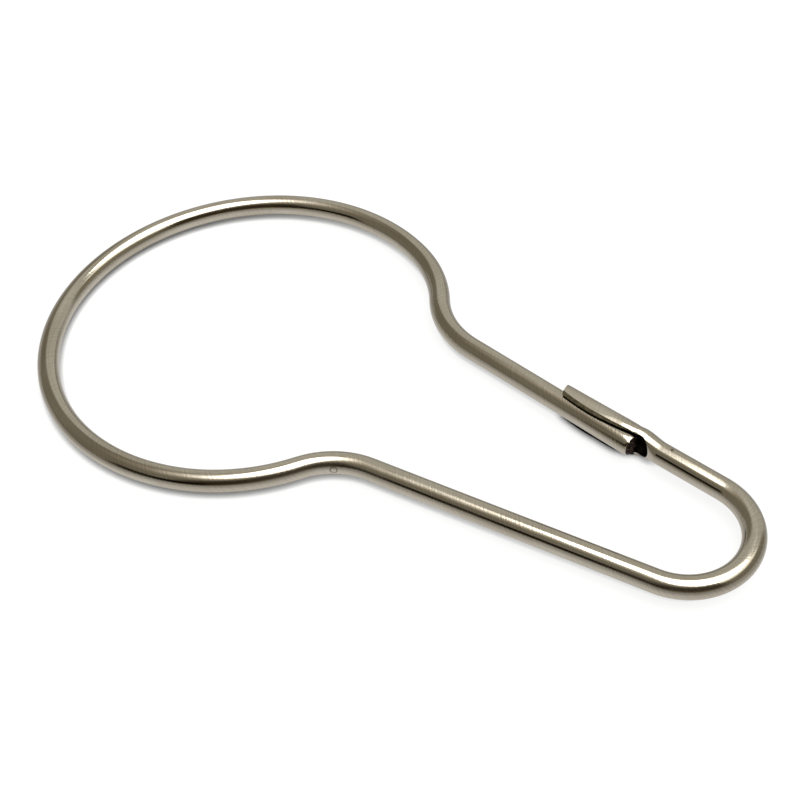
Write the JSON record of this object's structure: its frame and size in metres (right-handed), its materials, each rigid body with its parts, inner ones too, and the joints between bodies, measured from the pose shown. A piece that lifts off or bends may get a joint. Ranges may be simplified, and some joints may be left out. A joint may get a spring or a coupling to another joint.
{
  "type": "curtain hook",
  "caption": "Pear-shaped wire curtain hook: a big loop for the rod, a small loop for the curtain's eyelet, and a channel latch that holds the free end of the wire.",
  "frame": {"origin": "centre of the big loop, at the middle of the wire", "axes": "+X along the hook from the big loop to the small loop, +Y towards the arm with the latch, +Z square to the flat of the hook; it lies as it would on a table"},
  "size_m": [0.0722, 0.04, 0.003],
  "materials": {
    "nickel": "nickel plating on drawn steel wire, satin to bright"
  },
  "bodies": {
    "root": {"hook_wire": "nickel"}
  },
  "joints": []
}
